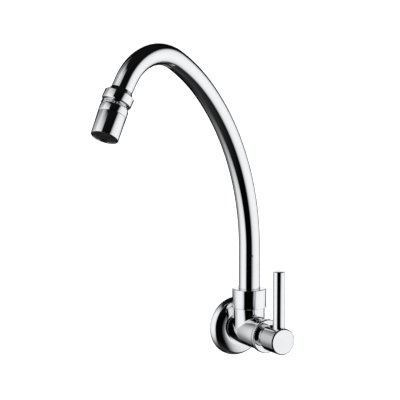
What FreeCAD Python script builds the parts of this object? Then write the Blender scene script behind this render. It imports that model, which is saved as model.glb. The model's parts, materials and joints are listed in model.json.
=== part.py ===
import FreeCAD, Part
import math
import os

# Wall-mounted kitchen faucet with a swivel gooseneck spout, a quarter-turn lever
# and a ball-jointed aerator. Millimetres. The origin is where the axis of the
# barrel meets the wall, +Y points into the wall, -Y to the user and +Z up.

V = FreeCAD.Vector

# Driving sizes: barrel, branch and inlet of the casting
spout_offset = 24.5         # wall to the axis of the spout
barrel_r = 14.1
barrel_back = 14.3          # spout axis to the back face of the barrel
barrel_front = 27.3         # spout axis to the front face of the barrel
branch_r = 13.95
branch_top = 21.5           # barrel axis to the seam under the collar nut
branch_thread_step = 0.9    # branch thread lies this far inside the branch
branch_thread_length = 10.0
inlet_thread_r = 10.478     # half-inch pipe thread, outside
inlet_thread_length = 16.0
inlet_neck_step = 0.3       # neck under the flange, smaller than the thread
inlet_chamfer = 1.0
inlet_bore_r = 6.2
casting_wall = 2.2          # least wall between the inlet and the branch passage
edge_break = 0.4            # small chamfer on turned edges

# Wall flange
flange_r = 27.0
flange_wall = 1.2
flange_rim = 0.64           # straight rim that meets the wall
flange_side_rise = 0.69     # bulge of the steep side over its chord
flange_shoulder_r = 24.36   # steep side ends here
flange_shoulder_drop = 3.2  # and this far behind the front face
flange_crown_rise = 0.2     # bulge of the crown over its chord
flange_land = 1.7           # front face of the flange, wider than the barrel
flange_hub_wall = 1.8
flange_hub_length = 6.0

# Headwork: quarter-turn cartridge in the front of the barrel
seat_at = 2.0               # spout axis to the seat, towards the user
seat_seal_width = 1.8
seat_seal_thickness = 1.8
disc_r = 8.15
disc_thickness = 3.2
port_r = 6.2
port_core_r = 2.4
port_angle = 80.0           # degrees that each port takes up
disc_film = 0.02            # gap between the two ceramic discs
nose_wall = 0.7
nose_start = 0.4            # nose stops this far before the seat
chamber_gap = 1.2           # water space round the nose
headwork_thread_r = 10.4
headwork_thread_length = 10.8
window_width = 8.0
gasket_thickness = 1.0
gasket_wall = 1.9
headwork_flange_r = 12.6
headwork_flange = 1.2
headwork_hex_flats = 21.0
headwork_hex = 1.4
headwork_neck_r = 8.0
headwork_neck = 9.4

# Spindle
stem_r = 5.0
stem_head_r = 7.8
stem_head = 3.2
key_width = 3.0
key_length = 13.0
key_depth = 1.4
stem_groove_floor_r = 3.7
stem_groove_gap = 6.0       # between the two seals of the spindle
spline_r = 4.0
spline_depth = 0.35
spline_teeth = 20
clip_thickness = 0.8
clip_r = 6.8
clip_depth = 0.7
clip_opening = 3.0

# Bonnet ring and handle
bonnet_r = 15.4
bonnet_length = 4.5
bonnet_round = 1.1          # outer edge at the front
bonnet_lip = 1.2            # front wall of the bonnet ring
bonnet_hex_wall = 0.6       # what is left of it before the headwork's hexagon
bonnet_neck_play = 0.2      # sleeve of the bonnet ring round the headwork's neck
bonnet_neck_wall = 1.1
bonnet_neck_run_in = 1.0    # sleeve goes this far into the hub
handle_gap = 6.1            # bonnet ring to the hub, along the sleeve
hub_r = 12.0
hub_length = 20.45
hub_play = 0.3              # cavity of the hub round the sleeve
hub_cavity = 6.0
hub_edge = 1.0
lever_r = 5.45
lever_top = 62.5            # barrel axis to the end of the lever
lever_setback = 7.9         # hub face to the axis of the lever
lever_seat = 9.0            # barrel axis to the shoulder of the lever
lever_stud_r = 2.9
grub_r = 2.4
grub_recess = 0.95          # grub screw ends this far inside the hub
grub_socket_flats = 2.5
grub_socket_depth = 3.0

# Spout
tube_r = 9.525              # three-quarter-inch tube
tube_wall = 1.0
riser_height = 73.9         # barrel axis to the start of the first bend
sweep_r = 220.4             # long first bend
sweep_angle = 43.3          # degrees
shoulder_r = 172.5
shoulder_angle = 15.5       # degrees
crook_r = 43.7              # tight bend at the top
crook_angle = 87.5          # degrees
tail_length = 13.1          # straight from the last bend to the tip collar
spout_rest_angle = 15.8     # degrees that the spout points towards the user at rest
foot_floor = 12.5           # barrel axis to the floor under the spout's foot
washer_thickness = 1.2
foot_bore_r = 11.0
foot_passage_r = 7.0
foot_socket = 6.0           # depth of the tube's socket in the foot
foot_wall = 1.5
foot_groove_floor_r = 9.1
foot_groove_first = 2.4     # foot's lower end to the first seal
foot_groove_pitch = 4.4
split_ring_thickness = 3.0
split_ring_opening = 2.5
collar_r = 15.4
collar_height = 17.4
collar_edge = 0.7

# Tip of the spout and its ball joint
tip_r = 13.25
tip_length = 9.1
tip_edge = 1.1
tip_socket = 2.8            # tube's end in the tip collar
tip_shoulder = 1.0
tip_passage_r = 7.6
tip_thread_r = 11.8
tip_washer_thickness = 1.2
seat_ring_length = 3.0
lock_sleeve_wall = 1.3
ball_r = 8.0
ball_gap = 0.15
ball_inset = 1.0            # ball's centre above the lower face of the tip collar
ball_top_cut = 4.4
ball_bore_r = 3.3
neck_r = 4.6
lock_r = 12.4
lock_exposed = 4.4          # part of the lock ring that shows
lock_groove_width = 0.8
lock_groove_depth = 1.0
lock_notches = 8
lock_notch_width = 3.2
lock_notch_depth = 2.2
lock_mouth_r = 6.9
lock_mouth_flare = 0.5

# Aerator
aerator_gap = 0.5           # lock ring to the rim of the aerator
aerator_rest_angle = 7.5    # degrees that the aerator leans towards the user at rest
aerator_r = 12.6
aerator_ring_length = 6.8
aerator_rim = 0.35          # flat land at the rim of the cup
cup_depth = 3.0
cup_floor = 1.5
cup_thread_r = 11.2
neck_thread_r = 4.2
neck_thread_length = 1.5
seam_edge = 0.3
sleeve_top_r = 12.55
sleeve_end_r = 12.2
sleeve_length = 21.1
sleeve_bore_r = 10.7
sleeve_ledge_r = 9.2
sleeve_ledge = 2.2          # ledge inside the sleeve, below the seam
sleeve_spigot = 1.6
aerator_washer_width = 3.0
flow_disc_thickness = 1.2
flow_hole_r = 0.8
flow_hole_circle_r = 6.5
flow_holes = 12
insert_wall = 1.2
insert_plate = 3.0
insert_recess = 0.4         # insert's face above the end of the sleeve
insert_slot_width = 0.9
insert_slot_pitch = 2.0

# Clearances
fixed_fit = 0.08            # pieces that are screwed or brazed together
running_fit = 0.07          # pieces that turn in each other
seal_gap = 0.05             # rubber rings in their grooves
face_gap = 0.05             # faces that slide on each other
seal_sides = 8              # flats that stand for the round section of a seal
cut_over = 1.0              # a cut runs this far past the face it opens

# Places that follow from the sizes
flange_depth = spout_offset - barrel_back
inlet_neck_r = inlet_thread_r - inlet_neck_step
branch_thread_r = branch_r - branch_thread_step
branch_end = branch_top + branch_thread_length
passage_floor = inlet_bore_r + casting_wall
fixed_disc_at = seat_at + seat_seal_thickness
moving_disc_at = fixed_disc_at + disc_thickness + disc_film
stem_head_at = moving_disc_at + disc_thickness
stem_shoulder_at = stem_head_at + stem_head
nose_bore_r = disc_r + fixed_fit
nose_r = nose_bore_r + nose_wall
chamber_r = nose_r + chamber_gap
headwork_shoulder_at = barrel_front + gasket_thickness
headwork_hex_at = headwork_shoulder_at + headwork_flange
headwork_neck_at = headwork_hex_at + headwork_hex
headwork_end = headwork_neck_at + headwork_neck
headwork_thread_at = barrel_front - headwork_thread_length
clip_at = headwork_end + face_gap
clip_groove_r = stem_r - clip_depth
bonnet_end = barrel_front + bonnet_length
bonnet_lip_r = headwork_neck_r + bonnet_neck_play
bonnet_neck_r = bonnet_lip_r + bonnet_neck_wall
hub_at = bonnet_end + handle_gap
hub_end = hub_at + hub_length
lever_at = hub_end - lever_setback
spline_at = hub_at + hub_cavity
stem_end = lever_at + lever_stud_r
tube_bore_r = tube_r - tube_wall
foot_r = foot_bore_r - running_fit
foot_bottom = foot_floor + washer_thickness + face_gap
foot_top = branch_end - face_gap
tube_bottom = foot_top - foot_socket
ball_at = tip_length - ball_inset
ball_socket_r = ball_r + ball_gap
tip_floor = tip_socket + tip_shoulder
tip_washer_end = tip_floor + tip_washer_thickness
lock_thread_r = tip_thread_r - fixed_fit
lock_sleeve_bore_r = lock_thread_r - lock_sleeve_wall
lock_end = tip_length + lock_exposed
rim_at = lock_end + aerator_gap
cup_at = rim_at + cup_depth
seam_at = rim_at + aerator_ring_length
sleeve_end = seam_at + sleeve_length
flow_disc_at = seam_at + sleeve_ledge
insert_at = flow_disc_at + flow_disc_thickness
insert_end = sleeve_end - insert_recess


def turned(first, *steps):
    """Solid turned about Z from (radius, height) corners; a pair of corners is an arc."""
    edges = []
    here = first
    for step in steps + (first,):
        arc = isinstance(step[0], tuple)
        there = step[1] if arc else step
        start = V(here[0], 0, here[1])
        end = V(there[0], 0, there[1])
        if arc:
            middle = V(step[0][0], 0, step[0][1])
            edges.append(Part.Arc(start, middle, end).toShape())
        else:
            edges.append(Part.LineSegment(start, end).toShape())
        here = there
    return Part.Face(Part.Wire(edges)).revolve(V(0, 0, 0), V(0, 0, 1), 360)


def ring(inner, outer, low, high, edge=0.0):
    """Plain ring about Z, with its outer edges chamfered."""
    if edge == 0.0:
        return turned((inner, low), (outer, low), (outer, high), (inner, high))
    return turned(
        (inner, low), (outer - edge, low), (outer, low + edge),
        (outer, high - edge), (outer - edge, high), (inner, high),
    )


def plug(radius, low, high):
    """Cylinder about Z between two heights."""
    return Part.makeCylinder(radius, high - low, V(0, 0, low))


def seal(floor_r, wall_r, height):
    """Rubber ring between a groove's floor and a bore; its round section has a few flats."""
    section_r = (wall_r - floor_r) / 2 - seal_gap
    corner_r = section_r / math.cos(math.pi / seal_sides)
    corners = []
    for side in range(seal_sides):
        angle = (2 * side + 1) * math.pi / seal_sides
        corners.append(((wall_r + floor_r) / 2 + corner_r * math.cos(angle),
                        height + corner_r * math.sin(angle)))
    return turned(*corners)


def seal_width(floor_r, wall_r):
    """Width of the groove that such a rubber ring needs."""
    return wall_r - floor_r


def rounded_top(radius, height, size):
    """Steps that round the outer edge where a side meets the face above it."""
    slack = size * (1 - math.sqrt(0.5))
    return (radius, height - size), ((radius - slack, height - slack), (radius - size, height))


def ball_corner(radius, centre, height):
    """Corner on the outline of a ball, at a height."""
    return (math.sqrt(radius ** 2 - (height - centre) ** 2), height)


def bowed(start, end, rise):
    """Middle of an arc that stands off its chord by a rise, outwards."""
    run = end[0] - start[0]
    drop = end[1] - start[1]
    span = math.hypot(run, drop)
    middle_r = (start[0] + end[0]) / 2 - rise * drop / span
    middle_height = (start[1] + end[1]) / 2 + rise * run / span
    return (middle_r, middle_height)


def wedge(inner, outer, middle, span, low, high):
    """Sector of a ring about Z; middle and span in degrees."""
    half = math.radians(span / 2)
    centre = math.radians(middle)
    spots = [centre - half, centre, centre + half]
    near = [V(inner * math.cos(a), inner * math.sin(a), low) for a in spots]
    far = [V(outer * math.cos(a), outer * math.sin(a), low) for a in spots]
    edges = [
        Part.Arc(near[0], near[1], near[2]).toShape(),
        Part.LineSegment(near[2], far[2]).toShape(),
        Part.Arc(far[2], far[1], far[0]).toShape(),
        Part.LineSegment(far[0], near[0]).toShape(),
    ]
    return Part.Face(Part.Wire(edges)).extrude(V(0, 0, high - low))


def bar(width, depth, low, high):
    """Block centred on Z: width along X, depth along Y."""
    return Part.makeBox(width, depth, high - low, V(-width / 2, -depth / 2, low))


def hexagon(flats, low, high):
    """Six-sided bar about Z."""
    corner_r = flats / math.sqrt(3)
    corners = [math.radians(60 * i) for i in range(7)]
    spots = [V(corner_r * math.cos(a), corner_r * math.sin(a), low) for a in corners]
    return Part.Face(Part.makePolygon(spots)).extrude(V(0, 0, high - low))


def spline(outer, depth, low, high):
    """Toothed bar about Z, for the nose of the spindle and for the hub's bore."""
    spots = []
    pitch = 2 * math.pi / spline_teeth
    for tooth in range(spline_teeth):
        for share, radius in ((0.0, outer), (0.3, outer), (0.5, outer - depth), (0.8, outer - depth)):
            angle = (tooth + share) * pitch
            spots.append(V(radius * math.cos(angle), radius * math.sin(angle), low))
    spots.append(spots[0])
    return Part.Face(Part.makePolygon(spots)).extrude(V(0, 0, high - low))


def on_wall(shape):
    """Place a shape whose Z is the distance from the wall towards the user."""
    shape.Placement = FreeCAD.Placement(V(0, 0, 0), FreeCAD.Rotation(V(1, 0, 0), 90))
    return shape


def on_barrel(shape):
    """Place a shape whose Z is the distance in front of the spout's axis."""
    turn = FreeCAD.Rotation(V(1, 0, 0), 90)
    shape.Placement = FreeCAD.Placement(V(0, -spout_offset, 0), turn)
    return shape


def on_branch(shape):
    """Place a shape that stands on the spout's axis, Z up, X along the spout."""
    turn = FreeCAD.Rotation(V(0, 0, 1), 180 + spout_rest_angle)
    shape.Placement = FreeCAD.Placement(V(0, -spout_offset, 0), turn)
    return shape


def bend(start, heading, radius, turn):
    """Arc of the spout's centre line; heading is in degrees from straight up."""
    def spot(angle):
        side = math.radians(angle)
        return V(
            start.x + radius * (math.cos(math.radians(heading)) - math.cos(side)),
            0,
            start.z + radius * (math.sin(side) - math.sin(math.radians(heading))),
        )
    middle = spot(heading + turn / 2)
    end = spot(heading + turn)
    return Part.Arc(start, middle, end).toShape(), end


def spout_line():
    """Centre line of the tube: its edges, the tip collar's place and the last heading."""
    foot = V(0, 0, tube_bottom)
    corner = V(0, 0, riser_height)
    edges = [Part.LineSegment(foot, corner).toShape()]
    heading = 0.0
    spout_bends = ((sweep_r, sweep_angle), (shoulder_r, shoulder_angle), (crook_r, crook_angle))
    for radius, turn in spout_bends:
        edge, corner = bend(corner, heading, radius, turn)
        edges.append(edge)
        heading += turn
    ahead = V(math.sin(math.radians(heading)), 0, math.cos(math.radians(heading)))
    tip = corner + ahead * tail_length
    edges.append(Part.LineSegment(corner, tip + ahead * tip_socket).toShape())
    return edges, tip, heading


def on_tip(shape):
    """Place a shape whose Z is the distance from the tip collar's top to the outlet."""
    tip, heading = spout_line()[1:]
    tilt = FreeCAD.Placement(tip, FreeCAD.Rotation(V(0, 1, 0), heading))
    swing = FreeCAD.Rotation(V(0, 0, 1), 180 + spout_rest_angle)
    shape.Placement = FreeCAD.Placement(V(0, -spout_offset, 0), swing).multiply(tilt)
    return shape


def on_ball(shape):
    """Place a shape like the tip collar, then tilt it in the ball joint as at rest."""
    shape.rotate(V(0, 0, ball_at), V(-1, 0, 0), aerator_rest_angle)
    tilt = shape.Placement
    collar = on_tip(Part.Shape()).Placement
    shape.Placement = collar.multiply(tilt)
    return shape


def valve_body():
    """Casting: barrel with the inlet shank behind it, and the branch for the spout."""
    inlet_end = -spout_offset - inlet_thread_length
    barrel = turned(
        (0, inlet_end),
        (inlet_thread_r - inlet_chamfer, inlet_end),
        (inlet_thread_r, inlet_end + inlet_chamfer),
        (inlet_thread_r, -spout_offset),
        (inlet_neck_r, -spout_offset),
        (inlet_neck_r, -barrel_back),
        (barrel_r, -barrel_back),
        (barrel_r, barrel_front - edge_break),
        (barrel_r - edge_break, barrel_front),
        (0, barrel_front),
    )
    barrel_bore = turned(
        (0, inlet_end - cut_over),
        (inlet_bore_r, inlet_end - cut_over),
        (inlet_bore_r, seat_at),
        (chamber_r, seat_at),
        (chamber_r, headwork_thread_at),
        (headwork_thread_r + fixed_fit, headwork_thread_at),
        (headwork_thread_r + fixed_fit, barrel_front + cut_over),
        (0, barrel_front + cut_over),
    )
    branch = turned(
        (0, 0),
        (branch_r, 0),
        (branch_r, branch_top),
        (branch_thread_r, branch_top),
        (branch_thread_r, branch_end),
        (0, branch_end),
    )
    branch_bore = turned(
        (0, passage_floor),
        (foot_passage_r, passage_floor),
        (foot_passage_r, foot_floor),
        (foot_bore_r, foot_floor),
        (foot_bore_r, branch_end + cut_over),
        (0, branch_end + cut_over),
    )
    casting = on_barrel(barrel).fuse(on_branch(branch))
    return casting.cut(on_barrel(barrel_bore)).cut(on_branch(branch_bore))


def wall_flange():
    """Shell with a steep side and a low crown, from the wall to the back of the barrel."""
    hub_bore_r = inlet_thread_r + fixed_fit
    hub_r_out = hub_bore_r + flange_hub_wall
    hub_start = flange_depth - flange_hub_length

    def outline(inset):
        """Front, shoulder and rim of the shell, moved inwards by its wall."""
        face = (barrel_r + flange_land, flange_depth - inset)
        shoulder = (flange_shoulder_r - inset, flange_depth - flange_shoulder_drop - inset)
        rim = (flange_r - inset, flange_rim)
        crown = bowed(face, shoulder, flange_crown_rise)
        side = bowed(shoulder, rim, flange_side_rise)
        return face, crown, shoulder, side, rim

    face, crown, shoulder, side, rim = outline(0)
    inner_face, inner_crown, inner_shoulder, inner_side, inner_rim = outline(flange_wall)
    return on_wall(turned(
        (hub_bore_r, flange_depth),
        face,
        (crown, shoulder),
        (side, rim),
        (flange_r, 0),
        (flange_r - flange_wall, 0),
        inner_rim,
        (inner_side, inner_shoulder),
        (inner_crown, inner_face),
        (hub_r_out, flange_depth - flange_wall),
        (hub_r_out, hub_start),
        (hub_bore_r, hub_start),
    ))


def headwork_bush():
    """Housing of the cartridge: nose with two windows, thread, flange, hexagon and neck."""
    bush = turned(
        (nose_bore_r, seat_at + nose_start),
        (nose_r, seat_at + nose_start),
        (nose_r, headwork_thread_at + edge_break),
        (headwork_thread_r, headwork_thread_at + edge_break),
        (headwork_thread_r, headwork_shoulder_at),
        (headwork_flange_r, headwork_shoulder_at),
        (headwork_flange_r, headwork_hex_at),
        (headwork_neck_r, headwork_hex_at),
        (headwork_neck_r, headwork_end),
        (stem_r + running_fit, headwork_end),
        (stem_r + running_fit, stem_shoulder_at + face_gap),
        (nose_bore_r, stem_shoulder_at + face_gap),
    )
    nut = hexagon(headwork_hex_flats, headwork_hex_at, headwork_neck_at)
    core = plug(headwork_neck_r - cut_over, headwork_hex_at - cut_over, headwork_neck_at + cut_over)
    nut = nut.cut(core)
    window = bar(2 * (nose_r + cut_over), window_width, moving_disc_at + disc_film, stem_shoulder_at)
    return on_barrel(bush.fuse(nut).cut(window))


def headwork_gasket():
    """Fibre ring between the barrel and the flange of the headwork."""
    inner = headwork_thread_r + fixed_fit
    return on_barrel(ring(inner, inner + gasket_wall, barrel_front, headwork_shoulder_at))


def seat_seal():
    """Rubber ring between the seat in the casting and the fixed disc."""
    return on_barrel(ring(disc_r - seat_seal_width, disc_r, seat_at, fixed_disc_at))


def fixed_disc():
    """Ceramic disc with a port on each side."""
    high = fixed_disc_at + disc_thickness
    disc = plug(disc_r, fixed_disc_at, high)
    for side in (0, 180):
        port = wedge(port_core_r, port_r, side, port_angle, fixed_disc_at - cut_over, high + cut_over)
        disc = disc.cut(port)
    return on_barrel(disc)


def moving_disc():
    """Ceramic disc that covers both ports at rest and clears them a quarter turn on."""
    high = moving_disc_at + disc_thickness
    disc = plug(disc_r - running_fit, moving_disc_at, high)
    for side in (90, 270):
        outer = disc_r + cut_over
        gap = wedge(port_core_r, outer, side, port_angle, moving_disc_at - cut_over, high + cut_over)
        disc = disc.cut(gap)
    slot_floor = high - key_depth - fixed_fit
    slot = bar(2 * (disc_r + cut_over), key_width + fixed_fit, slot_floor, high + cut_over)
    return on_barrel(disc.cut(slot))


def stem_groove_places():
    """Where the two seals of the spindle sit."""
    first = stem_shoulder_at + stem_groove_gap / 2
    return first, first + stem_groove_gap


def spindle():
    """Stem with a key for the moving disc, two seal grooves, a clip groove and a spline."""
    wall_r = stem_r + running_fit
    half = seal_width(stem_groove_floor_r, wall_r) / 2
    grooves = stem_groove_places()
    corners = [
        (0, stem_head_at),
        (stem_head_r, stem_head_at),
        (stem_head_r, stem_shoulder_at),
        (stem_r, stem_shoulder_at),
    ]
    for place in grooves:
        corners += [
            (stem_r, place - half),
            (stem_groove_floor_r, place - half),
            (stem_groove_floor_r, place + half),
            (stem_r, place + half),
        ]
    clip_end = clip_at + clip_thickness + face_gap
    corners += [
        (stem_r, clip_at - face_gap / 2),
        (clip_groove_r, clip_at - face_gap / 2),
        (clip_groove_r, clip_end),
        (stem_r, clip_end),
        (stem_r, spline_at - edge_break),
        (spline_r - spline_depth, spline_at - edge_break),
        (spline_r - spline_depth, stem_end),
        (0, stem_end),
    ]
    key = bar(key_length, key_width, stem_head_at - key_depth, stem_head_at)
    toothed = spline(spline_r, spline_depth, spline_at, stem_end)
    return on_barrel(turned(*corners).fuse(key).fuse(toothed))


def stem_oring(place):
    """Rubber ring in one groove of the spindle."""
    return on_barrel(seal(stem_groove_floor_r, stem_r + running_fit, place))


def stem_clip():
    """Open spring clip that keeps the spindle in the headwork."""
    high = clip_at + clip_thickness
    clip = ring(clip_groove_r + seal_gap, clip_r, clip_at, high)
    mouth = Part.makeBox(clip_opening, 2 * clip_r, 3 * clip_thickness,
                         V(-clip_opening / 2, 0, clip_at - clip_thickness))
    return on_barrel(clip.cut(mouth))


def bonnet_ring():
    """Ring that covers the flange of the headwork, with a sleeve over the headwork's neck."""
    bore_r = headwork_flange_r + fixed_fit
    sleeve_end = hub_at + bonnet_neck_run_in
    shell = turned(
        (bore_r, barrel_front),
        (bonnet_r - edge_break, barrel_front),
        (bonnet_r, barrel_front + edge_break),
        *rounded_top(bonnet_r, bonnet_end, bonnet_round),
        (bonnet_neck_r, bonnet_end),
        (bonnet_neck_r, sleeve_end),
        (bonnet_lip_r, sleeve_end),
        (bonnet_lip_r, bonnet_end - bonnet_lip),
        (bore_r, bonnet_end - bonnet_lip),
    )
    hollow = hexagon(headwork_hex_flats + 2 * fixed_fit, headwork_hex_at, bonnet_end - bonnet_hex_wall)
    return on_barrel(shell.cut(hollow))


def handle_hub():
    """Round hub: hollow at the back, splined on the spindle, drilled for lever and grub screw."""
    cavity_r = bonnet_neck_r + hub_play
    hub = turned(
        (cavity_r, hub_at),
        (hub_r - hub_edge, hub_at),
        (hub_r, hub_at + hub_edge),
        (hub_r, hub_end - hub_edge),
        (hub_r - hub_edge, hub_end),
        (0, hub_end),
        (0, spline_at),
        (cavity_r, spline_at),
    )
    bore = spline(spline_r + fixed_fit, spline_depth, spline_at - cut_over, stem_end + fixed_fit)
    hub = on_barrel(hub.cut(bore))
    seat = Part.makeCylinder(lever_r + fixed_fit, hub_r, V(0, 0, lever_seat))
    stud = Part.makeCylinder(lever_stud_r + fixed_fit, hub_r)
    screw = Part.makeCylinder(grub_r + fixed_fit, 2 * hub_r, V(0, 0, -2 * hub_r))
    for hole in (seat, stud, screw):
        hub = hub.cut(on_lever(hole))
    return hub


def on_lever(shape):
    """Place a shape whose Z runs up the lever from the axis of the barrel."""
    shape.Placement = FreeCAD.Placement(V(0, -spout_offset - lever_at, 0), FreeCAD.Rotation())
    return shape


def lever_rod():
    """Straight lever with a threaded stud that reaches down to the spindle."""
    return on_lever(turned(
        (0, spline_r + face_gap),
        (lever_stud_r, spline_r + face_gap),
        (lever_stud_r, lever_seat),
        (lever_r, lever_seat),
        (lever_r, lever_top - edge_break),
        (lever_r - edge_break, lever_top),
        (0, lever_top),
    ))


def grub_screw():
    """Socket screw under the hub that grips the spindle."""
    high = -spline_r - face_gap
    low = grub_recess - hub_r
    screw = plug(grub_r, low, high)
    return on_lever(screw.cut(hexagon(grub_socket_flats, low, low + grub_socket_depth)))


def collar_nut():
    """Nut on the branch: it keeps the split ring, and so the spout, down."""
    top = branch_top + collar_height
    lid = branch_end + split_ring_thickness + fixed_fit
    return on_branch(turned(
        (branch_thread_r + fixed_fit, branch_top),
        (collar_r - edge_break, branch_top),
        (collar_r, branch_top + edge_break),
        (collar_r, top - collar_edge),
        (collar_r - collar_edge, top),
        (tube_r + running_fit, top),
        (tube_r + running_fit, lid),
        (branch_thread_r + fixed_fit, lid),
    ))


def thrust_washer():
    """Acetal washer under the foot of the spout."""
    inner = foot_passage_r + edge_break
    return on_branch(ring(inner, foot_bore_r - fixed_fit, foot_floor, foot_floor + washer_thickness))


def split_ring():
    """Open acetal ring on the branch, over the edge of the foot."""
    high = branch_end + split_ring_thickness
    whole = ring(tube_r + running_fit, branch_thread_r, branch_end, high)
    mouth = Part.makeBox(2 * branch_thread_r, split_ring_opening, 3 * split_ring_thickness,
                         V(0, -split_ring_opening / 2, branch_end - split_ring_thickness))
    return on_branch(whole.cut(mouth))


def foot_groove_places():
    """Where the two seals of the foot sit."""
    first = foot_bottom + foot_groove_first
    return first, first + foot_groove_pitch


def spout_foot():
    """Brass foot brazed on the tube, turning in the branch on two seals."""
    half = seal_width(foot_groove_floor_r, foot_bore_r) / 2
    corners = [(tube_bore_r - foot_wall, foot_bottom), (foot_r, foot_bottom)]
    for place in foot_groove_places():
        corners += [
            (foot_r, place - half),
            (foot_groove_floor_r, place - half),
            (foot_groove_floor_r, place + half),
            (foot_r, place + half),
        ]
    corners += [
        (foot_r, foot_top),
        (tube_r + fixed_fit, foot_top),
        (tube_r + fixed_fit, tube_bottom),
        (tube_bore_r - foot_wall, tube_bottom),
    ]
    return on_branch(turned(*corners))


def foot_oring(place):
    """Rubber ring in one groove of the foot."""
    return on_branch(seal(foot_groove_floor_r, foot_bore_r, place))


def spout_tube():
    """Bent tube, hollow all the way from the foot to the tip collar."""
    path = Part.Wire(spout_line()[0])
    start = V(0, 0, tube_bottom)
    solids = []
    for radius in (tube_r, tube_bore_r):
        section = Part.Wire(Part.makeCircle(radius, start, V(0, 0, 1)))
        solids.append(path.makePipeShell([section], True, False))
    return on_branch(solids[0].cut(solids[1]))


def tip_collar():
    """Collar brazed on the end of the tube, threaded inside for the lock ring."""
    return on_tip(turned(
        (tube_r + fixed_fit, 0),
        (tip_r - tip_edge, 0),
        (tip_r, tip_edge),
        (tip_r, tip_length - edge_break),
        (tip_r - edge_break, tip_length),
        (tip_thread_r, tip_length),
        (tip_thread_r, tip_floor),
        (tip_passage_r, tip_floor),
        (tip_passage_r, tip_socket),
        (tube_r + fixed_fit, tip_socket),
    ))


def tip_washer():
    """Rubber washer between the tip collar and the slip ring."""
    outer = lock_sleeve_bore_r - running_fit
    return on_tip(ring(tip_passage_r, outer, tip_floor, tip_washer_end))


def ball_seat():
    """Acetal slip ring round the upper half of the ball."""
    low = tip_washer_end + face_gap
    high = low + seat_ring_length
    outer = lock_sleeve_bore_r - running_fit
    bottom = ball_corner(ball_socket_r, ball_at, high)
    top = ball_corner(ball_socket_r, ball_at, low)
    middle = ball_corner(ball_socket_r, ball_at, (low + high) / 2)
    return on_tip(turned((outer, low), (outer, high), bottom, (middle, top)))


def lock_ring():
    """Notched ring screwed into the tip collar: it carries the ball in its socket."""
    seat_end = tip_washer_end + face_gap + seat_ring_length
    low = tip_washer_end - face_gap
    shelf = max(seat_end, ball_at) + face_gap
    groove_at = tip_length + (lock_exposed - lock_groove_width) / 2
    throat = ball_at + math.sqrt(ball_socket_r ** 2 - lock_mouth_r ** 2)
    start = ball_corner(ball_socket_r, ball_at, shelf)
    middle = ball_corner(ball_socket_r, ball_at, (shelf + throat) / 2)
    whole = turned(
        (lock_sleeve_bore_r, low),
        (lock_thread_r, low),
        (lock_thread_r, tip_length),
        (lock_r, tip_length),
        (lock_r, groove_at),
        (lock_r - lock_groove_depth, groove_at),
        (lock_r - lock_groove_depth, groove_at + lock_groove_width),
        (lock_r, groove_at + lock_groove_width),
        (lock_r, lock_end),
        (lock_mouth_r + lock_mouth_flare, lock_end),
        (lock_mouth_r, throat),
        (middle, start),
        (lock_sleeve_bore_r, shelf),
    )
    for i in range(lock_notches):
        notch = Part.makeBox(lock_notch_depth + cut_over, lock_notch_width, lock_exposed,
                             V(lock_r - lock_notch_depth, -lock_notch_width / 2, groove_at))
        notch.rotate(V(0, 0, 0), V(0, 0, 1), 360 * i / lock_notches)
        whole = whole.cut(notch)
    return on_tip(whole)


def swivel_ball():
    """Ball with a hollow neck, screwed into the floor of the aerator's cup."""
    top = ball_at - ball_top_cut
    join = ball_at + math.sqrt(ball_r ** 2 - neck_r ** 2)
    return on_ball(turned(
        (ball_bore_r, top),
        ball_corner(ball_r, ball_at, top),
        ((ball_r, ball_at), (neck_r, join)),
        (neck_r, cup_at),
        (neck_thread_r, cup_at),
        (neck_thread_r, cup_at + neck_thread_length),
        (ball_bore_r, cup_at + neck_thread_length),
    ))


def aerator_ring():
    """Upper ring of the aerator: its cup follows a sphere about the ball's centre."""
    cup_r = math.hypot(aerator_r - aerator_rim, rim_at - ball_at)
    floor_edge = ball_corner(cup_r, ball_at, cup_at)
    middle = ball_corner(cup_r, ball_at, (rim_at + cup_at) / 2)
    under = cup_at + cup_floor
    return on_ball(turned(
        (neck_thread_r + fixed_fit, cup_at),
        floor_edge,
        (middle, (aerator_r - aerator_rim, rim_at)),
        (aerator_r, rim_at),
        (aerator_r, seam_at - seam_edge),
        (aerator_r - seam_edge, seam_at),
        (cup_thread_r, seam_at),
        (cup_thread_r, under),
        (neck_thread_r + fixed_fit, under),
    ))


def aerator_washer():
    """Rubber washer between the cup's floor and the sleeve."""
    under = cup_at + cup_floor
    outer = cup_thread_r - fixed_fit
    return on_ball(ring(outer - aerator_washer_width, outer, under, seam_at - sleeve_spigot))


def aerator_sleeve():
    """Lower sleeve of the aerator, screwed into the ring above, with a ledge inside."""
    spigot_r = cup_thread_r - fixed_fit
    spigot_at = seam_at - sleeve_spigot
    return on_ball(turned(
        (sleeve_ledge_r, spigot_at),
        (spigot_r, spigot_at),
        (spigot_r, seam_at),
        (sleeve_top_r - seam_edge, seam_at),
        (sleeve_top_r, seam_at + seam_edge),
        (sleeve_end_r, sleeve_end - edge_break),
        (sleeve_end_r - edge_break, sleeve_end),
        (sleeve_bore_r, sleeve_end),
        (sleeve_bore_r, flow_disc_at),
        (sleeve_ledge_r, flow_disc_at),
    ))


def flow_disc():
    """Plate with a ring of holes under the sleeve's ledge."""
    disc = plug(sleeve_bore_r - fixed_fit, flow_disc_at, insert_at)
    for i in range(flow_holes):
        hole = Part.makeCylinder(flow_hole_r, flow_disc_thickness + 2 * cut_over,
                                 V(flow_hole_circle_r, 0, flow_disc_at - cut_over))
        hole.rotate(V(0, 0, 0), V(0, 0, 1), 360 * i / flow_holes)
        disc = disc.cut(hole)
    return on_ball(disc)


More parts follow.
